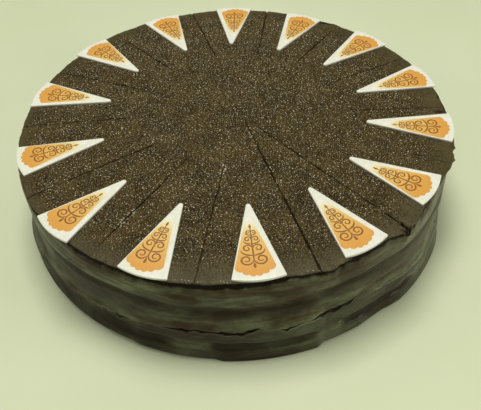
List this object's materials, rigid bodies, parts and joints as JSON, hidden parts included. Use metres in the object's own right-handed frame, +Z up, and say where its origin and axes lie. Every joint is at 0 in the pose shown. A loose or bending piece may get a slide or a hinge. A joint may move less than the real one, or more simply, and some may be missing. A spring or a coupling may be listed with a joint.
{
  "type": "chocolate torte",
  "caption": "Whole round chocolate-glazed torte, scored on top for slicing, with a flat white chocolate wedge plaque lying on each slice at the rim.",
  "frame": {"origin": "middle of the flat base, on the surface that the torte rests on", "axes": "+Z up, out of the glazed top; -Y towards the side whose two score lines reach nearest the middle"},
  "size_m": [0.2699, 0.2715, 0.0597],
  "materials": {
    "glaze": "dark chocolate glaze, satin, grainy on top and smooth at the side",
    "white_chocolate": "smooth ivory white chocolate with an orange field and a brown scroll printed on it"
  },
  "bodies": {
    "root": {"cake": "glaze", "plaque_01": "white_chocolate", "plaque_02": "white_chocolate", "plaque_03": "white_chocolate", "plaque_04": "white_chocolate", "plaque_05": "white_chocolate", "plaque_06": "white_chocolate", "plaque_07": "white_chocolate", "plaque_08": "white_chocolate", "plaque_09": "white_chocolate", "plaque_10": "white_chocolate", "plaque_11": "white_chocolate", "plaque_12": "white_chocolate", "plaque_13": "white_chocolate", "plaque_14": "white_chocolate"}
  },
  "joints": []
}
